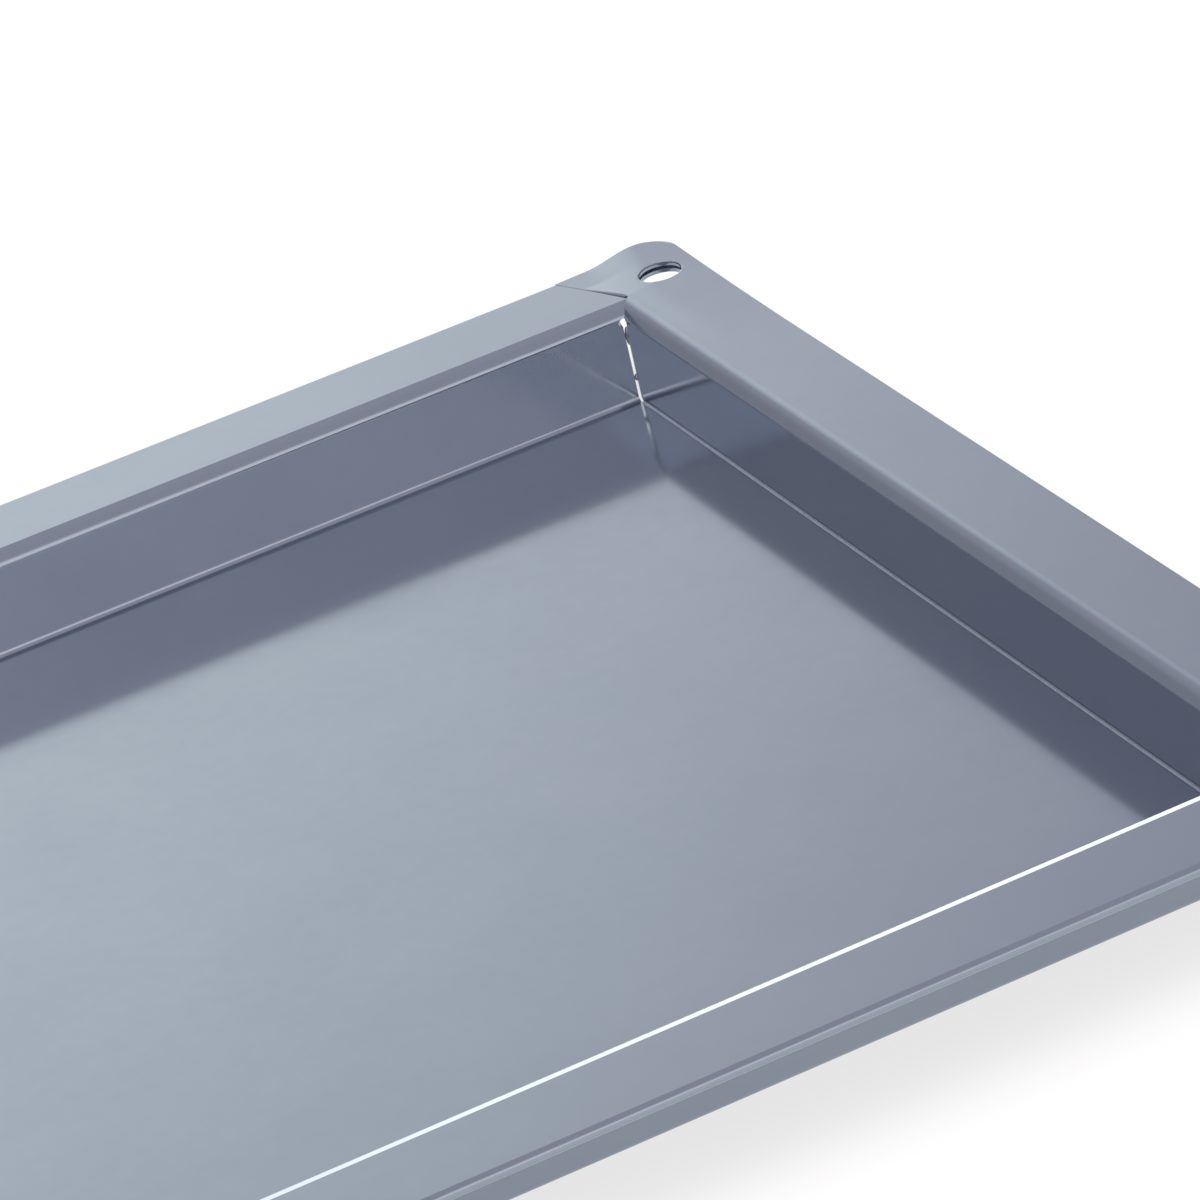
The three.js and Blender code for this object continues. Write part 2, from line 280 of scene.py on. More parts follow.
class Workpiece:
    """A mesh that is shaped on the bench with edit-mode operators, as by hand."""

    def __init__(self, name: str) -> None:
        """Takes the primitive just added as the workpiece.

        Args:
            name: Name of the object and its mesh.
        """
        self.obj = bpy.context.active_object
        self.obj.name = name
        self.obj.data.name = name

    @staticmethod
    def clear() -> None:
        """Leaves edit mode and deselects every object."""
        if bpy.context.mode != "OBJECT":
            bpy.ops.object.mode_set(mode="OBJECT")
        bpy.ops.object.select_all(action="DESELECT")

    @classmethod
    def start(cls, name: str, primitive: Callable[..., set[str]], **sizes: float) -> "Workpiece":
        """Starts from a primitive at the origin.

        Args:
            name: Name of the piece.
            primitive: Operator that adds the primitive.
            sizes: Values of the operator's own settings.

        Returns:
            The workpiece, in edit mode and selected all over.
        """
        cls.clear()
        primitive(**sizes)
        work = cls(name)
        work.edit()
        return work

    @classmethod
    def between(cls, name: str, low: Vector, high: Vector) -> "Workpiece":
        """Starts from a box, or from a flat rectangle where both corners have one height.

        Args:
            name: Name of the piece.
            low: Lowest corner.
            high: Highest corner.

        Returns:
            The workpiece, in edit mode and selected all over.
        """
        flat = low.z == high.z
        primitive = bpy.ops.mesh.primitive_plane_add if flat else bpy.ops.mesh.primitive_cube_add
        work = cls.start(name, primitive, size=1)
        span = high - low
        bpy.ops.transform.resize(value=(span.x, span.y, 1 if flat else span.z))
        bpy.ops.transform.translate(value=(low + high) / 2)
        return work

    def edit(self) -> None:
        """Enters edit mode with everything selected."""
        bpy.ops.object.mode_set(mode="EDIT")
        bpy.ops.mesh.select_all(action="SELECT")

    def rest(self) -> None:
        """Returns to object mode."""
        bpy.ops.object.mode_set(mode="OBJECT")

    def pick(self, domain: str, test: PlaceTest) -> None:
        """Selects, in edit mode, the elements whose corners pass a test.

        Args:
            domain: VERT, EDGE or FACE.
            test: Called with the places of an element's corners.
        """
        bpy.ops.mesh.select_mode(type=domain)
        bpy.ops.mesh.select_all(action="DESELECT")
        shape = bmesh.from_edit_mesh(self.obj.data)
        elements = {"VERT": shape.verts, "EDGE": shape.edges, "FACE": shape.faces}[domain]
        for element in elements:
            corners = [element] if domain == "VERT" else element.verts
            if test([corner.co for corner in corners]):
                element.select_set(True)
        shape.select_flush_mode()
        bmesh.update_edit_mesh(self.obj.data)

    def pull(self, move: Vector) -> None:
        """Extrudes what is picked along a move."""
        bpy.ops.mesh.extrude_region_move(TRANSFORM_OT_translate={"value": tuple(move)})

    def fold(self, turn: float, centre: Vector, axis: Vector, steps: int) -> None:
        """Spins the picked edges round an axis into a bend; the operator's angle is left-handed.

        Args:
            turn: Angle of the bend, by the right-hand rule.
            centre: Point on the axis.
            axis: Way of the axis.
            steps: Count of strips in the bend.
        """
        bpy.ops.mesh.spin(steps=steps, angle=-turn, center=tuple(centre), axis=tuple(axis))

    def cut(self, point: Vector, normal: Vector) -> None:
        """Cuts what is picked along a plane through a point, square to a normal."""
        bpy.ops.mesh.bisect(plane_co=tuple(point), plane_no=tuple(normal), threshold=CUT_SNAP)

    def trim(self, test: PlaceTest, point: Vector, normal: Vector) -> None:
        """Cuts faces with a plane and deletes what lies on its normal's side.

        Args:
            test: Called with the places of a face's corners; passes the faces to cut.
            point: Point on the plane.
            normal: Way from the plane to what is deleted.
        """
        self.pick("FACE", test)
        self.cut(point, normal)
        self.pick("FACE", lambda ends: test(ends) and all(
            (end - point).dot(normal) > -TOUCH for end in ends))
        bpy.ops.mesh.delete(type="FACE")

    def round_corner(self, test: PlaceTest, radius: float, steps: int) -> None:
        """Rounds the flat corners whose places pass a test.

        Args:
            test: Called with a list that holds one place.
            radius: Distance from the corner at which the curve begins.
            steps: Count of edges in the curve.
        """
        self.pick("VERT", test)
        bpy.ops.mesh.bevel(
            offset=radius, segments=steps, affect="VERTICES", clamp_overlap=False)

    def close_up(self) -> None:
        """Merges doubles and points all faces one way, in edit mode."""
        bpy.ops.mesh.select_mode(type="VERT")
        bpy.ops.mesh.select_all(action="SELECT")
        bpy.ops.mesh.remove_doubles(threshold=MERGE_REACH)
        bpy.ops.mesh.normals_make_consistent(inside=False)

    def face_up(self) -> None:
        """Turns the whole sheet over if its largest level face points down."""
        self.rest()
        flats = [face for face in self.obj.data.polygons if abs(face.normal.z) > LEVEL_SHARE]
        widest = max(flats, key=lambda face: face.area)
        if widest.normal.z < 0:
            self.edit()
            bpy.ops.mesh.flip_normals()
            self.rest()

    def place(self, mapping: Callable[[Vector], Vector]) -> None:
        """Moves every corner of the mesh to where a mapping puts it."""
        self.rest()
        for vertex in self.obj.data.vertices:
            vertex.co = mapping(vertex.co.copy())
        self.obj.data.update()

    def modify(self, kind: str, **settings: object) -> None:
        """Adds a modifier with settings and applies it.

        Args:
            kind: Blender's name for the kind of modifier.
            settings: Values of the modifier's own settings.
        """
        modifier = self.obj.modifiers.new(kind.title(), kind)
        for key, value in settings.items():
            setattr(modifier, key, value)
        bpy.context.view_layer.objects.active = self.obj
        bpy.ops.object.modifier_apply(modifier=modifier.name)

    def mirror_and_thicken(self, axes: tuple[bool, bool, bool], thickness: float) -> None:
        """Mirrors a part of a sheet into the whole and gives it thickness below its upper face.

        Args:
            axes: Which of X, Y and Z it is mirrored along.
            thickness: Thickness of the sheet.
        """
        self.close_up()
        self.rest()
        self.modify("MIRROR", use_axis=axes, merge_threshold=TOUCH)
        self.edit()
        self.close_up()
        self.face_up()
        self.modify("SOLIDIFY", thickness=thickness, offset=-1, use_even_offset=True)

    def drill(self, radius: float, centre: Vector, axis: Vector, depth: float, sides: int) -> None:
        """Cuts a round hole right through the workpiece.

        Args:
            radius: Radius of the hole.
            centre: Middle of the drill.
            axis: Way of the drill.
            depth: Length of the drill.
            sides: Count of the hole's facets.
        """
        self.clear()
        bpy.ops.mesh.primitive_cylinder_add(radius=radius, depth=depth, vertices=sides)
        bit = bpy.context.active_object
        turned = Vector((0, 0, 1)).rotation_difference(axis).to_matrix().to_4x4()
        bit.data.transform(Matrix.Translation(centre) @ turned)
        self.modify("BOOLEAN", object=bit, operation="DIFFERENCE", solver="EXACT")
        spent = bit.data
        bpy.data.objects.remove(bit)
        bpy.data.meshes.remove(spent)

    def take(self) -> None:
        """Selects this piece alone, in object mode."""
        self.clear()
        self.obj.select_set(True)
        bpy.context.view_layer.objects.active = self.obj

    def soften(self) -> None:
        """Breaks the sharp edges and shades bends smooth and flats flat."""
        self.take()
        self.modify(
            "BEVEL", width=EDGE_WIDTH, segments=2, limit_method="ANGLE",
            angle_limit=BREAK_ANGLE, use_clamp_overlap=True)
        bpy.ops.object.shade_smooth_by_angle(angle=SMOOTH_ANGLE)
        self.modify("WEIGHTED_NORMAL", mode="FACE_AREA", weight=100, keep_sharp=True)

    def copy(self, name: str, move: Matrix) -> bpy.types.Object:
        """Copies the piece with its own mesh and moves the copy's mesh.

        Args:
            name: Name of the copy.
            move: Where the copy's mesh goes.

        Returns:
            The copy, with its object at the origin.
        """
        mesh = self.obj.data.copy()
        mesh.name = name
        mesh.transform(move)
        twin = bpy.data.objects.new(name, mesh)
        bpy.context.scene.collection.objects.link(twin)
        return twin


class Nodes:
    """Shader nodes of one material or world."""

    def __init__(self, tree: bpy.types.NodeTree) -> None:
        """Empties a node tree to build in it."""
        self.tree = tree
        tree.nodes.clear()

    def add(self, kind: str, inputs: dict | None = None, **settings: object) -> bpy.types.Node:
        """Adds a node.

        Args:
            kind: Blender's name for the kind of node.
            inputs: Value or feeding socket for each input, by name or number.
            settings: Values of the node's own settings.

        Returns:
            The node.
        """
        node = self.tree.nodes.new(kind)
        for key, value in settings.items():
            setattr(node, key, value)
        for key, value in (inputs or {}).items():
            if isinstance(value, Socket):
                self.tree.links.new(value, node.inputs[key])
            else:
                node.inputs[key].default_value = value
        return node

    def noise(self, place: Socket, scale: float, detail: float) -> Socket:
        """Adds a soft noise and returns its value.

        Args:
            place: Coordinates that the noise reads.
            scale: Count of its patches in a metre.
            detail: Count of its finer layers.

        Returns:
            The noise's value, from 0 to 1.
        """
        node = self.add("ShaderNodeTexNoise", {"Vector": place, "Scale": scale, "Detail": detail})
        return node.outputs["Fac"]

    def span(
        self, value: Socket, source: Pair, target: Pair = (0.0, 1.0), course: str = "LINEAR",
    ) -> Socket:
        """Maps a value from one range to another.

        Args:
            value: Value to map.
            source: Ends of its own range.
            target: Ends of the range wanted.
            course: Blender's name for the course between the ends.

        Returns:
            The mapped value.
        """
        node = self.add("ShaderNodeMapRange", {
            "Value": value, "From Min": source[0], "From Max": source[1],
            "To Min": target[0], "To Max": target[1]}, interpolation_type=course)
        return node.outputs["Result"]

    def blend(self, share: Socket, first: object, second: object, way: str = "MIX") -> Socket:
        """Blends two colours.

        Args:
            share: Share of the second colour.
            first: First colour, or the socket that gives it.
            second: Second colour, or the socket that gives it.
            way: Blender's name for the way of blending.

        Returns:
            The blended colour.
        """
        node = self.add("ShaderNodeMix", {
            "Factor": share, "A": first, "B": second}, data_type="RGBA", blend_type=way)
        return node.outputs["Result"]

    def math(self, operation: str, *values: object) -> Socket:
        """Adds a calculation with two or three values and returns its result.

        Args:
            operation: Blender's name for the operation.
            values: Numbers or sockets.

        Returns:
            The result.
        """
        node = self.add("ShaderNodeMath", dict(enumerate(values)), operation=operation)
        return node.outputs[0]


@dataclass(frozen=True)
class SteelFinish:
    """Steel with mottled oxide, rolling grain, faint scratches and a little waviness."""

    name: str
    colour: Triple
    tint: Triple
    roughness: float
    grain: Grain
    metallic: float = 0.95
    mottle_size: float = 35 * MM
    mottle_range: Pair = (0.35, 0.65)
    fine_count: float = 9
    fine_share: float = 0.35
    rough_range: Pair = (0.3, 0.7)
    rough_swing: float = 0.015
    grain_length: float = 60 * MM
    grain_width: float = 0.5 * MM
    grain_height: float = 0.0007 * MM
    grain_rough: float = 0.03
    scratch_turn: Triple = (0.3, 0.2, 0.7)
    scratch_scale: Triple = (25, 1800, 1800)
    scratch_range: Pair = (0.72, 0.8)
    scratch_rough: float = 0.05
    wave_size: float = 150 * MM
    wave_height: float = 0.12 * MM

    def material(self) -> bpy.types.Material:
        """Makes the finish's material.

        Returns:
            The new material.
        """
        material = bpy.data.materials.new(self.name)
        material.use_nodes = True
        nodes = Nodes(material.node_tree)
        place = nodes.add("ShaderNodeTexCoord").outputs["Object"]
        mottle = nodes.noise(place, 1 / self.mottle_size, detail=4)
        fine = nodes.noise(place, self.fine_count / self.mottle_size, detail=3)
        cloud = nodes.math(
            "MULTIPLY_ADD", fine, self.fine_share,
            nodes.math("MULTIPLY", mottle, 1 - self.fine_share))
        long_way = 1 / self.grain_length
        short_way = 1 / self.grain_width
        ways = {
            Grain.ALONG: (long_way, short_way, short_way),
            Grain.ACROSS: (short_way, long_way, short_way),
        }
        stretched = nodes.add("ShaderNodeMapping", {"Vector": place, "Scale": ways[self.grain]})
        streak = nodes.noise(stretched.outputs[0], 1, detail=3)
        skewed = nodes.add("ShaderNodeMapping", {
            "Vector": place, "Rotation": self.scratch_turn, "Scale": self.scratch_scale})
        scratch = nodes.span(nodes.noise(skewed.outputs[0], 1, detail=1), self.scratch_range)
        colour = nodes.blend(
            nodes.span(cloud, self.mottle_range), (*self.colour, 1), (*self.tint, 1))
        rough = nodes.span(cloud, self.rough_range, (
            self.roughness - self.rough_swing, self.roughness + self.rough_swing))
        rough = nodes.math("MULTIPLY_ADD", streak, self.grain_rough, rough)
        rough = nodes.math("MULTIPLY_ADD", scratch, self.scratch_rough, rough)
        wave = nodes.noise(place, 1 / self.wave_size, detail=1)
        slow = nodes.add("ShaderNodeBump", {
            "Height": wave, "Distance": self.wave_height, "Strength": 1.0})
        bump = nodes.add("ShaderNodeBump", {
            "Height": streak, "Distance": self.grain_height, "Strength": 1.0,
            "Normal": slow.outputs[0]})
        shader = nodes.add("ShaderNodeBsdfPrincipled", {
            "Base Color": colour, "Metallic": self.metallic,
            "Roughness": rough, "Normal": bump.outputs[0]})
        nodes.add("ShaderNodeOutputMaterial", {"Surface": shader.outputs[0]})
        return material


@dataclass
class Finishes:
    """Finishes of the tray, each made once and shared by its pieces."""

    pan: bpy.types.Material = field(init=False)
    panel: bpy.types.Material = field(init=False)
    weld: bpy.types.Material = field(init=False)

    def __post_init__(self) -> None:
        """Makes the three materials."""
        blued = {
            "colour": (0.300, 0.346, 0.405), "tint": (0.285, 0.331, 0.392), "roughness": 0.11}
        self.pan = SteelFinish("blued_sheet_along", grain=Grain.ALONG, **blued).material()
        self.panel = SteelFinish("blued_sheet_across", grain=Grain.ACROSS, **blued).material()
        self.weld = SteelFinish(
            "weld_metal", colour=(0.36, 0.40, 0.46), tint=(0.26, 0.30, 0.36), roughness=0.25,
            grain=Grain.ALONG, mottle_size=1.2 * MM, grain_length=0.6 * MM,
            grain_height=0.004 * MM, wave_height=0.0).material()


@dataclass
class PanSheet:
    """Floor, long walls, rims, hems and tabs, folded from one sheet."""

    sizes: TraySizes
    bend_steps: int = 14
    shoulder_steps: int = 6
    corner_steps: int = 8
    step_start: float = 0.5 * MM
    step_run: float = 0.8 * MM
    mitre_lap: float = 0.5 * MM

    def build(self) -> Workpiece:
        """Folds one quarter, ends it at the corner, mirrors it and gives it thickness.

        Returns:
            The finished workpiece.
        """
        work = self.fold_quarter()
        self.end_quarter(work)
        self.add_tab(work)
        work.mirror_and_thicken((True, True, False), self.sizes.sheet)
        for end in End:
            for side in Side:
                drill_corner(work, self.sizes, end, side)
        work.soften()
        return work

    def fold_quarter(self) -> Workpiece:
        """Folds floor, wall, rim and hem of the back right quarter at full length.

        Returns:
            The workpiece, in edit mode.
        """
        s = self.sizes
        along = Vector((1, 0, 0))
        level = s.floor_top
        turn = math.pi / 2 - s.long_lean
        floor_end = s.long_wall_at(level) - tangent(s.floor_bend, turn)
        work = Workpiece.between(
            "pan_sheet_folded", Vector((0, 0, level)), Vector((s.half_length, floor_end, level)))
        work.pick("EDGE", lambda ends: all(abs(end.y - floor_end) < TOUCH for end in ends))
        work.fold(turn, Vector((0, floor_end, level + s.floor_bend)), along, self.bend_steps)
        rise = Vector((0, math.sin(s.long_lean), math.cos(s.long_lean)))
        wall = (s.shoulder_foot - level) / math.cos(s.long_lean)
        foot_turn = turn - s.shoulder_slope
        foot_tangent = tangent(s.shoulder_foot_bend, foot_turn)
        work.pull(rise * (wall - tangent(s.floor_bend, turn) - foot_tangent))
        foot = Vector((0, s.long_wall_at(s.shoulder_foot), s.shoulder_foot))
        below = Vector((0, rise.z, -rise.y))
        work.fold(
            -foot_turn, foot - rise * foot_tangent + below * s.shoulder_foot_bend, along,
            self.bend_steps)
        climb = Vector((0, math.cos(s.shoulder_slope), math.sin(s.shoulder_slope)))
        shoulder = math.hypot(s.shoulder_width, s.shoulder_drop)
        top_tangent = tangent(s.shoulder_top_bend, s.shoulder_slope)
        work.pull(climb * (shoulder - foot_tangent - top_tangent))
        rim_start = s.long_rim_start
        work.fold(
            -s.shoulder_slope, Vector((0, rim_start, s.long_rim_top - s.shoulder_top_bend)), along,
            self.shoulder_steps)
        nose = s.half_width - s.hem_nose
        work.pull(Vector((0, nose - rim_start, 0)))
        work.fold(
            -math.pi, Vector((0, nose, s.long_rim_top - s.hem_nose)), along, 2 * self.bend_steps)
        work.pull(Vector((0, -s.hem_return, 0)))
        work.close_up()
        return work

    def end_quarter(self, work: Workpiece) -> None:
        """Ends the basin one seam gap short of the end wall, mitres the bend and ends the hem.

        Args:
            work: The folded quarter.
        """
        s = self.sizes
        foot_turn = math.pi / 2 - s.long_lean - s.shoulder_slope
        wall_top = s.shoulder_foot - (
            tangent(s.shoulder_foot_bend, foot_turn) * math.cos(s.long_lean))
        rim_start = s.long_rim_start
        inside = s.long_wall_at(wall_top)
        work.trim(
            lambda ends: all(end.z < wall_top + TOUCH and end.y < inside + TOUCH for end in ends),
            Vector((s.end_wall_at(0) - s.seam_gap, 0, 0)),
            Vector((math.cos(s.end_lean), 0, -math.sin(s.end_lean))))
        work.trim(
            lambda ends: all(
                end.z > wall_top - TOUCH and end.y < rim_start + TOUCH for end in ends),
            s.mitre_head, s.mitre_across(self.mitre_lap))
        work.trim(
            lambda ends: all(end.y > rim_start - TOUCH for end in ends),
            Vector((self.hem_end, 0, 0)), Vector((1, 0, 0)))

    @property
    def hem_end(self) -> float:
        """Place along the tray where the hem ends, under the ear."""
        return self.sizes.end_rim_start - self.sizes.hem_end_gap

    def add_tab(self, work: Workpiece) -> None:
        """Draws the rim's end out into the tab that lies under the ear.

        Args:
            work: The quarter with its ends cut.
        """
        s = self.sizes
        rim_start = s.long_rim_start
        nose = s.half_width - s.hem_nose
        corner = s.mitre_head.x
        tab_end = s.half_length - s.tab_inset
        inner = s.hole_centre.y - s.hole_radius - s.tab_margin
        work.pick("EDGE", lambda ends: all(
            abs(end.x - self.hem_end) < TOUCH and abs(end.z - s.long_rim_top) < TOUCH
            and rim_start - TOUCH < end.y < nose + TOUCH for end in ends))
        work.pull(Vector((corner - self.hem_end, 0, 0)))
        work.pull(Vector((tab_end - corner, 0, 0)))
        work.round_corner(
            lambda ends: ends[0].x > tab_end - TOUCH and ends[0].y > nose - TOUCH,
            s.ear_corner, self.corner_steps)
        self.step_tab(work)
        low_from = corner + self.step_start + self.step_run
        work.pick("EDGE", lambda ends: all(
            end.x > low_from - TOUCH and abs(end.y - rim_start) < TOUCH for end in ends))
        work.pull(Vector((0, inner - rim_start, 0)))

    def step_tab(self, work: Workpiece) -> None:
        """Creases the tab along the lap and steps it down under the ear.

        Args:
            work: The quarter with its tab.
        """
        s = self.sizes
        lap = Vector((s.half_width - s.long_rim_start, s.lap_reach, 0)).normalized()
        for run in (self.step_start, self.step_start + self.step_run):
            work.pick("FACE", lambda ends: all(end.y > s.long_rim_start - TOUCH for end in ends))
            work.cut(s.mitre_head + Vector((run, 0, 0)), lap)
        low = self.step_start + self.step_run - TOUCH
        work.pick("VERT", lambda ends: (
            ends[0].y > s.long_rim_start - TOUCH and s.behind_lap(ends[0]) > low))
        bpy.ops.transform.translate(value=(0, 0, -s.lap_sink))


def drill_corner(work: Workpiece, sizes: TraySizes, end: End, side: Side) -> None:
    """Drills the hanging hole and the relief hole of one corner.

    Args:
        work: The sheet with its thickness.
        sizes: Sizes of the tray.
        end: End of the tray.
        side: Long side of the tray.
    """
    flip = Matrix.Diagonal((end.value, side.value, 1))
    work.drill(
        sizes.hole_radius, flip @ sizes.hole_centre, Vector((0, 0, 1)), sizes.depth / 2, HOLE_SIDES)
    height = sizes.relief_height
    corner = Vector((sizes.end_wall_at(height), sizes.long_wall_at(height), height))
    work.drill(
        sizes.relief_radius, flip @ corner, flip @ Vector((1, 1, 0)).normalized(),
        4 * sizes.relief_radius, RELIEF_SIDES)


@dataclass
class EndPanel:
    """End wall with its rim and two ears, cut from one sheet."""

    sizes: TraySizes
    bend_steps: int = 14
    foot_steps: int = 8
    rim_rows: int = 12
    ear_rows: int = 20
    round_rows: int = 20
    edge_columns: int = 6
    ramp_columns: int = 12
    level_columns: int = 10
    corner_steps: int = 8
    rest_run: float = 1.6 * MM
    tip_rate: float = 10

    @property
    def rim_start(self) -> float:
        """Place along the tray where the rim's level face begins."""
        return self.sizes.end_rim_start

    @property
    def ear_start(self) -> float:
        """Distance from the middle at which an ear begins."""
        return self.sizes.mitre_head.y - self.sizes.mitre_gap

    def row_places(self) -> list[float]:
        """Gives the distance from the middle of each row of the rim's grid.

        Returns:
            The places, from the middle outwards.
        """
        s = self.sizes
        round_start = s.half_width - s.ear_corner
        rows = [self.ear_start * step / self.rim_rows for step in range(self.rim_rows)]
        span = round_start - self.ear_start
        rows += [self.ear_start + span * step / self.ear_rows for step in range(self.ear_rows)]
        quarter = math.pi / 2 / self.round_rows
        rows += [
            round_start + s.ear_corner * math.sin(quarter * step)
            for step in range(self.round_rows + 1)]
        return rows

    def rim_point(self, column: int, y: float) -> Vector:
        """Gives a point of the rim's upper face, ears included.

        Args:
            column: Number of the grid's column, from the wall outwards.
            y: Distance from the tray's middle.

        Returns:
            The point.
        """
        s = self.sizes
        share = max(0.0, (y - self.ear_start) / (s.half_width - self.ear_start))
        lap = self.rim_start - s.lap_reach * share
        edge = lap + s.lap_round
        level_from = self.rim_start + s.ramp_start
        level_to = s.half_length - s.ear_corner
        level = level_from + (level_to - level_from) * share
        past = max(0.0, y - (s.half_width - s.ear_corner))
        end = s.half_length - s.ear_corner + math.sqrt(max(0.0, s.ear_corner ** 2 - past ** 2))
        turn = min(1.0, column / self.edge_columns)
        step = min(1.0, max(0.0, (column - self.edge_columns) / self.ramp_columns))
        out = max(0.0, (column - self.edge_columns - self.ramp_columns) / self.level_columns)
        x = lap + (edge - lap) * (1 - math.cos(turn * math.pi / 2))
        x += (level - edge) * step + (end - level) * out
        lift_start = self.ear_start - s.lift_run
        top = s.end_rim_top + s.ear_lift * max(
            0.0, (y - lift_start) / (s.half_width - lift_start)) ** 2
        low = s.lap_rest + s.lap_edge
        start = s.end_rim_top - (s.end_rim_top - low) * min(1.0, share / s.lap_fade)
        flush = edge + s.flush_share * share * (level - edge)
        climb = min(1.0, max(0.0, (x - flush) / (level - flush)))
        z = start + (top - start) * climb * climb * (3 - 2 * climb)
        rolled = min(1.0, share * self.ear_rows) * (1 - math.sin(turn * math.pi / 2))
        tip = max(0.0, self.tip_rate * share - (self.tip_rate - 1))
        inset = s.tip_inset * tip * (1 - step) ** 2
        return Vector((x, y - inset, z - (z - low) * rolled))

    def build(self) -> Workpiece:
        """Shapes half of the rim, bends the wall down from it, mirrors it and gives it thickness.

        Returns:
            The finished workpiece at the right-hand end.
        """
        work = self.shape_rim()
        self.bend_wall(work)
        self.trim_corner(work)
        work.mirror_and_thicken((False, True, False), self.sizes.sheet)
        work.place(self.rest_on_rim)
        for side in Side:
            drill_corner(work, self.sizes, End.RIGHT, side)
        work.soften()
        return work

    def shape_rim(self) -> Workpiece:
        """Lays a grid out as half of the rim with its ear.

        Returns:
            The workpiece, in object mode.
        """
        rows = self.row_places()
        columns = self.edge_columns + self.ramp_columns + self.level_columns
        work = Workpiece.start(
            "end_panel_right_folded", bpy.ops.mesh.primitive_grid_add, x_subdivisions=columns,
            y_subdivisions=len(rows) - 1, size=1)
        bpy.ops.transform.translate(value=(0.5, 0.5, 0))
        work.place(lambda spot: self.rim_point(
            round(spot.x * columns), rows[round(spot.y * (len(rows) - 1))]))
        return work

    def bend_wall(self, work: Workpiece) -> None:
        """Bends the rim's inner edge down and draws the wall out of it.

        Args:
            work: The rim.
        """
        s = self.sizes
        work.edit()
        work.pick("EDGE", lambda ends: all(
            abs(end.x - self.rim_start) < TOUCH and end.y < self.ear_start + TOUCH for end in ends))
        across = Vector((0, 1, 0))
        work.fold(
            -s.end_slope, Vector((self.rim_start, 0, s.end_rim_top - s.end_top_bend)), across,
            self.bend_steps)
        slide = Vector((-math.cos(s.end_slope), 0, -math.sin(s.end_slope)))
        shoulder = math.hypot(s.end_shoulder_width, s.end_shoulder_drop)
        foot_turn = math.pi / 2 - s.end_lean - s.end_slope
        foot_tangent = tangent(s.end_foot_bend, foot_turn)
        work.pull(slide * (shoulder - tangent(s.end_top_bend, s.end_slope) - foot_tangent))
        foot = Vector((s.end_wall_at(s.end_shoulder_foot), 0, s.end_shoulder_foot))
        behind = Vector((-slide.z, 0, slide.x))
        work.fold(
            -foot_turn, foot - slide * foot_tangent + behind * s.end_foot_bend, across,
            self.foot_steps)
        fall = Vector((-math.sin(s.end_lean), 0, -math.cos(s.end_lean)))
        work.pull(fall * (s.end_shoulder_foot / math.cos(s.end_lean) - foot_tangent))
        work.close_up()

    def trim_corner(self, work: Workpiece) -> None:
        """Mitres the bend, cuts the wall's side along the long wall and rounds its foot.

        Args:
            work: The rim with its wall.
        """
        s = self.sizes
        foot_turn = math.pi / 2 - s.end_lean - s.end_slope
        wall_top = s.end_shoulder_foot - (
            tangent(s.end_foot_bend, foot_turn) * math.cos(s.end_lean))
        work.trim(
            lambda ends: all(
                end.z > wall_top - TOUCH and end.x < self.rim_start + TOUCH
                and end.y < self.ear_start + TOUCH for end in ends),
            Vector((self.rim_start, self.ear_start, 0)), -s.mitre_across(0))
        work.trim(
            lambda ends: all(end.z < wall_top + TOUCH for end in ends),
            Vector((0, s.long_wall_at(0) - s.seam_gap, 0)),
            Vector((0, math.cos(s.long_lean), -math.sin(s.long_lean))))
        foot = s.long_wall_at(0) - s.seam_gap
        work.round_corner(
            lambda ends: ends[0].z < TOUCH and abs(ends[0].y - foot) < TOUCH,
            s.floor_bend + s.sheet, self.corner_steps)

    def rest_on_rim(self, spot: Vector) -> Vector:
        """Keeps the ear's lower face above the rim and tab, and the wall's foot above ground.

        Args:
            spot: Place of a corner of the mesh.

        Returns:
            Its place, raised where needed.
        """
        s = self.sizes
        if abs(spot.y) > self.ear_start + TOUCH and spot.z > s.long_rim_top - s.sheet:
            sunk = min(1.0, max(0.0, s.behind_lap(spot) / self.rest_run - 1))
            spot.z = max(spot.z, s.lap_rest - s.lap_sink * sunk)
        spot.z = max(spot.z, 0.0)
        return spot


@dataclass
class FloorSeam:
    """Hollow bead along the foot of an end wall."""

    sizes: TraySizes
    leg: float = 0.6 * MM
    gap: float = 0.05 * MM
    steps: int = 10
    hollow: float = 0.1
    hollow_share: float = 0.96

    def build(self) -> Workpiece:
        """Starts from a bar in the corner, hollows its free edge and leans it on the wall.

        Returns:
            The finished workpiece at the right-hand end.
        """
        s = self.sizes
        bottom = s.floor_top + self.gap
        wall = s.end_wall_at(bottom) - self.gap
        run = s.long_wall_at(s.floor_top) - s.floor_bend - s.seam_gap
        work = Workpiece.between(
            "floor_seam_right_bead", Vector((wall - self.leg, -run, bottom)),
            Vector((wall, run, bottom + self.leg)))
        work.pick("EDGE", lambda ends: all(
            end.x < wall - self.leg + TOUCH and end.z > bottom + self.leg - TOUCH for end in ends))
        bpy.ops.mesh.bevel(
            offset=self.leg * self.hollow_share, segments=self.steps, profile=self.hollow,
            affect="EDGES")
        work.close_up()
        slope = s.end_wall_lean / s.depth
        work.place(lambda spot: Vector((spot.x + slope * (spot.z - bottom), spot.y, spot.z)))
        work.obj.select_set(True)
        bpy.ops.object.shade_smooth_by_angle(angle=SMOOTH_ANGLE)
        return work


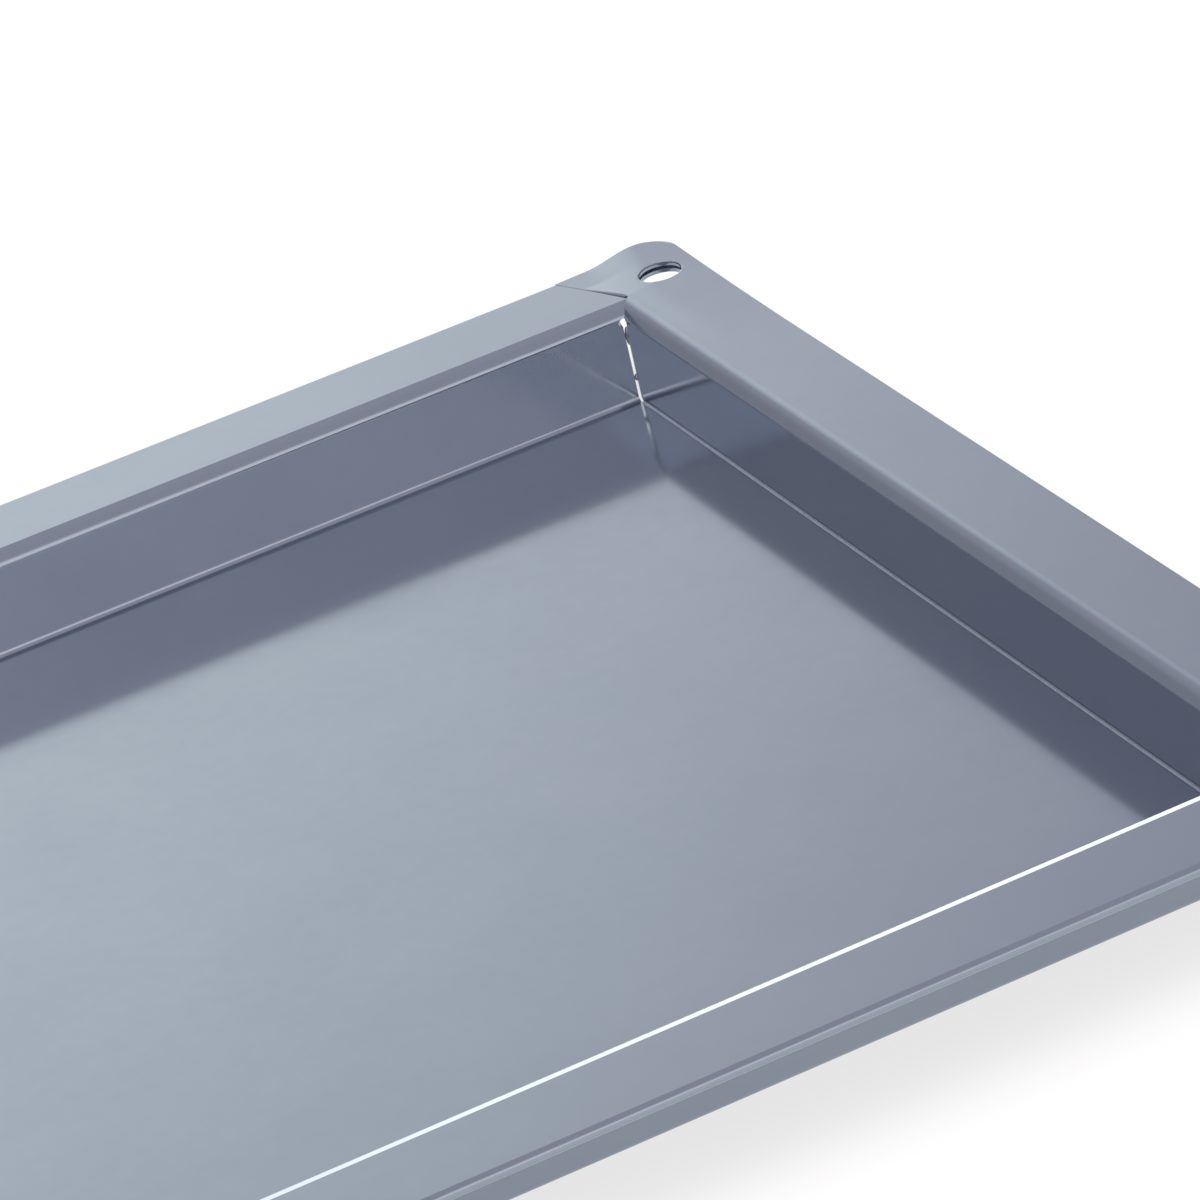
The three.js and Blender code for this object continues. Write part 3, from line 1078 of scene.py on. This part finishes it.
@dataclass
class CornerTack:
    """Short weld bead that bridges a corner's open seam."""

    sizes: TraySizes
    level: str
    height: float
    length: float
    radius: float = 0.65 * MM
    gap: float = 0.05 * MM
    segments: int = 24
    rings: int = 24
    waist: float = 0.05
    swell_rate: float = 2.1

    def build(self) -> Workpiece:
        """Draws a ball out into a bead with a slightly waisted, uneven face.

        Returns:
            The bead, standing at the origin.
        """
        work = Workpiece.start(
            "corner_tack_bead", bpy.ops.mesh.primitive_uv_sphere_add, radius=self.radius,
            segments=self.segments, ring_count=self.rings)
        bpy.ops.transform.resize(value=(1, 1, self.length / (2 * self.radius)))
        work.place(self.settle)
        work.take()
        bpy.ops.object.shade_smooth()
        return work

    def settle(self, spot: Vector) -> Vector:
        """Gives the bead the small swells that molten metal leaves."""
        swell = 1 - self.waist + self.waist * math.cos(spot.z / self.radius * self.swell_rate)
        return Vector((spot.x * swell, spot.y * swell, spot.z))

    def spot(self, end: End, side: Side) -> Matrix:
        """Gives the place of a bead in its seam.

        Args:
            end: End of the tray.
            side: Long side of the tray.

        Returns:
            The bead's move from the origin.
        """
        s = self.sizes
        level = s.floor_top + self.height
        inset = self.radius + self.gap - s.seam_gap
        x = end.value * (s.end_wall_at(level) + inset)
        y = side.value * (s.long_wall_at(level) + inset)
        lean = Vector((end.value * s.end_wall_lean, side.value * s.long_wall_lean, s.depth))
        turned = Vector((0, 0, 1)).rotation_difference(lean).to_matrix().to_4x4()
        return Matrix.Translation((x, y, level)) @ turned


@dataclass(frozen=True)
class Glow:
    """Soft patch of light on the studio's walls, with its angles in degrees."""

    heading: float
    elevation: float
    inner: float
    outer: float
    colour: Triple

    @property
    def direction(self) -> Vector:
        """Way from the tray to the middle of the patch."""
        flat = math.cos(math.radians(self.elevation))
        heading = math.radians(self.heading)
        return Vector((
            math.sin(heading) * flat, math.cos(heading) * flat,
            math.sin(math.radians(self.elevation))))

    @property
    def fade(self) -> Pair:
        """Cosines of the angles at which the patch begins and is full."""
        return math.cos(math.radians(self.outer)), math.cos(math.radians(self.inner))


@dataclass
class Studio:
    """Pale floor, soft light and the camera of the photograph."""

    floor_span: float = 40.0
    floor_drop: float = 0.2 * MM
    floor_colour: Triple = (0.90, 0.90, 0.90)
    floor_glow: float = 0.7
    wall_light: Triple = (0.46, 0.44, 0.49)
    ceiling_light: Triple = (0.65, 0.61, 0.69)
    wall_top: float = 5.0
    ceiling_edge: float = 35.0
    glows: tuple[Glow, ...] = (
        Glow(6.3, 16.2, 1, 21.3, (0.70, 0.78, 0.68)),
        Glow(14, 3, 8, 17, (0.95, 0.95, 0.95)),
        Glow(28, 3, 8, 17, (0.95, 0.95, 0.95)),
        Glow(185.7, 6, 22.5, 38.6, (0.96, 0.85, 0.81)),
        Glow(202.2, 33.8, 10.3, 35.1, (1.30, 1.10, 0.95)),
    )
    lamp_height: float = 1.5
    lamp_span: float = 1.6
    lamp_power: float = 14.0
    camera_place: Triple = (-0.21708, -1.19892, 0.61257)
    camera_aim: Triple = (0.19838, 0.05893, 0.0008)
    camera_roll: float = 14.429
    camera_lens: float = 228.0
    camera_sensor: float = 36.0
    camera_reach: Pair = (0.01, 100.0)

    def build(self) -> None:
        """Sets the floor, the light, the camera and the view."""
        self.lay_floor()
        self.light_walls()
        self.hang_lamp()
        self.set_camera()
        bpy.context.scene.view_settings.view_transform = "Standard"

    def lay_floor(self) -> None:
        """Lays the floor just under the tray."""
        Workpiece.clear()
        bpy.ops.mesh.primitive_plane_add(size=self.floor_span, location=(0, 0, -self.floor_drop))
        floor = bpy.context.active_object
        floor.name = "studio_floor"
        material = bpy.data.materials.new("studio_floor_paper")
        material.use_nodes = True
        nodes = Nodes(material.node_tree)
        paper = nodes.add("ShaderNodeBsdfDiffuse", {"Color": (*self.floor_colour, 1)})
        white = nodes.add("ShaderNodeEmission", {"Color": (1, 1, 1, 1), "Strength": 1.0})
        rays = nodes.add("ShaderNodeLightPath").outputs
        seen = nodes.math("MAXIMUM", rays["Is Camera Ray"], rays["Is Glossy Ray"])
        seen = nodes.math("MAXIMUM", seen, rays["Is Transmission Ray"])
        mixed = nodes.add("ShaderNodeMixShader", {
            0: nodes.math("MULTIPLY", seen, self.floor_glow), 1: paper.outputs[0],
            2: white.outputs[0]})
        nodes.add("ShaderNodeOutputMaterial", {"Surface": mixed.outputs[0]})
        floor.data.materials.append(material)

    def light_walls(self) -> None:
        """Lights the studio's walls and ceiling softly."""
        world = bpy.data.worlds.new("studio_walls")
        world.use_nodes = True
        bpy.context.scene.world = world
        nodes = Nodes(world.node_tree)
        way = nodes.add("ShaderNodeTexCoord").outputs["Generated"]
        height = nodes.add("ShaderNodeSeparateXYZ", {0: way}).outputs["Z"]
        ends = (math.sin(math.radians(self.wall_top)), math.sin(math.radians(self.ceiling_edge)))
        light = nodes.blend(
            nodes.span(height, ends, course="SMOOTHSTEP"), (*self.wall_light, 1),
            (*self.ceiling_light, 1))
        for glow in self.glows:
            towards = nodes.add(
                "ShaderNodeVectorMath", {0: way, 1: glow.direction}, operation="DOT_PRODUCT")
            share = nodes.span(towards.outputs["Value"], glow.fade, course="SMOOTHSTEP")
            light = nodes.blend(share, light, (*glow.colour, 1), way="ADD")
        lit = nodes.add("ShaderNodeBackground", {"Color": light, "Strength": 1.0})
        nodes.add("ShaderNodeOutputWorld", {"Surface": lit.outputs[0]})

    def hang_lamp(self) -> None:
        """Hangs one large soft lamp over the tray."""
        lamp = bpy.data.lights.new("overhead_softbox", "AREA")
        lamp.shape = "SQUARE"
        lamp.size = self.lamp_span
        lamp.energy = self.lamp_power
        holder = bpy.data.objects.new("overhead_softbox", lamp)
        holder.location = (0, 0, self.lamp_height)
        holder.visible_glossy = False
        bpy.context.scene.collection.objects.link(holder)

    def set_camera(self) -> None:
        """Places the camera where the photograph was taken from, with its lens and tilt."""
        lens = bpy.data.cameras.new("photograph")
        lens.sensor_width = self.camera_sensor
        lens.sensor_fit = "HORIZONTAL"
        lens.lens = self.camera_lens
        lens.clip_start, lens.clip_end = self.camera_reach
        camera = bpy.data.objects.new("photograph", lens)
        bpy.context.scene.collection.objects.link(camera)
        place = Vector(self.camera_place)
        ahead = (Vector(self.camera_aim) - place).normalized()
        level = ahead.cross(Vector((0, 0, 1))).normalized()
        below = ahead.cross(level)
        roll = math.radians(self.camera_roll)
        right = level * math.cos(roll) + below * math.sin(roll)
        down = below * math.cos(roll) - level * math.sin(roll)
        turned = Matrix((right, -down, -ahead)).transposed().to_4x4()
        camera.matrix_world = Matrix.Translation(place) @ turned
        bpy.context.scene.camera = camera


@dataclass
class BakingTray:
    """The whole tray: pan sheet, end panels, floor seams and corner tacks."""

    sizes: TraySizes
    finishes: Finishes

    def build(self) -> None:
        """Builds every piece, dresses it and sets it on the frame."""
        pan = PanSheet(self.sizes).build()
        self.dress(pan.obj, self.finishes.pan, "pan_sheet")
        self.build_ends()
        self.build_seams()
        self.build_tacks()

    def build_ends(self) -> None:
        """Builds the right-hand panel and turns a copy of it to the left."""
        panel = EndPanel(self.sizes).build()
        twin = panel.copy("end_panel_left_folded", Matrix.Rotation(math.pi, 4, "Z"))
        self.dress(panel.obj, self.finishes.panel, "end_panel_right")
        self.dress(twin, self.finishes.panel, "end_panel_left")

    def build_seams(self) -> None:
        """Builds the right-hand floor seam and turns a copy of it to the left."""
        seam = FloorSeam(self.sizes).build()
        twin = seam.copy("floor_seam_left_bead", Matrix.Rotation(math.pi, 4, "Z"))
        self.dress(seam.obj, self.finishes.weld, "floor_seam_right")
        self.dress(twin, self.finishes.weld, "floor_seam_left")

    def build_tacks(self) -> None:
        """Builds one tack of each kind and copies it to the four corners."""
        for tack in (
            CornerTack(self.sizes, level="lower", height=4.8 * MM, length=1.6 * MM),
            CornerTack(self.sizes, level="upper", height=13.9 * MM, length=4 * MM),
        ):
            model = tack.build()
            for end in End:
                for side in Side:
                    node = f"corner_tack_{side.name.lower()}_{end.name.lower()}_{tack.level}"
                    bead = model.copy(f"{node}_bead", tack.spot(end, side))
                    self.dress(bead, self.finishes.weld, node)
            spent = model.obj.data
            bpy.data.objects.remove(model.obj)
            bpy.data.meshes.remove(spent)

    def dress(
        self, piece: bpy.types.Object, material: bpy.types.Material, node: str,
    ) -> None:
        """Gives a piece its material and sets it on the frame in place of its CAD node.

        Args:
            piece: The finished piece.
            material: Material of the whole piece.
            node: The CAD node that the piece stands for.
        """
        piece.data.materials.append(material)
        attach(piece, BODY)
        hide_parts(node)
        LOG.info("%s stands for %s with %d faces", piece.name, node, len(piece.data.polygons))


def main() -> None:
    """Builds the studio and the tray."""
    logging.basicConfig(level=logging.INFO, format="%(name)s: %(message)s")
    Studio().build()
    BakingTray(TraySizes.from_frame(), Finishes()).build()


if __name__ == "__main__":
    main()
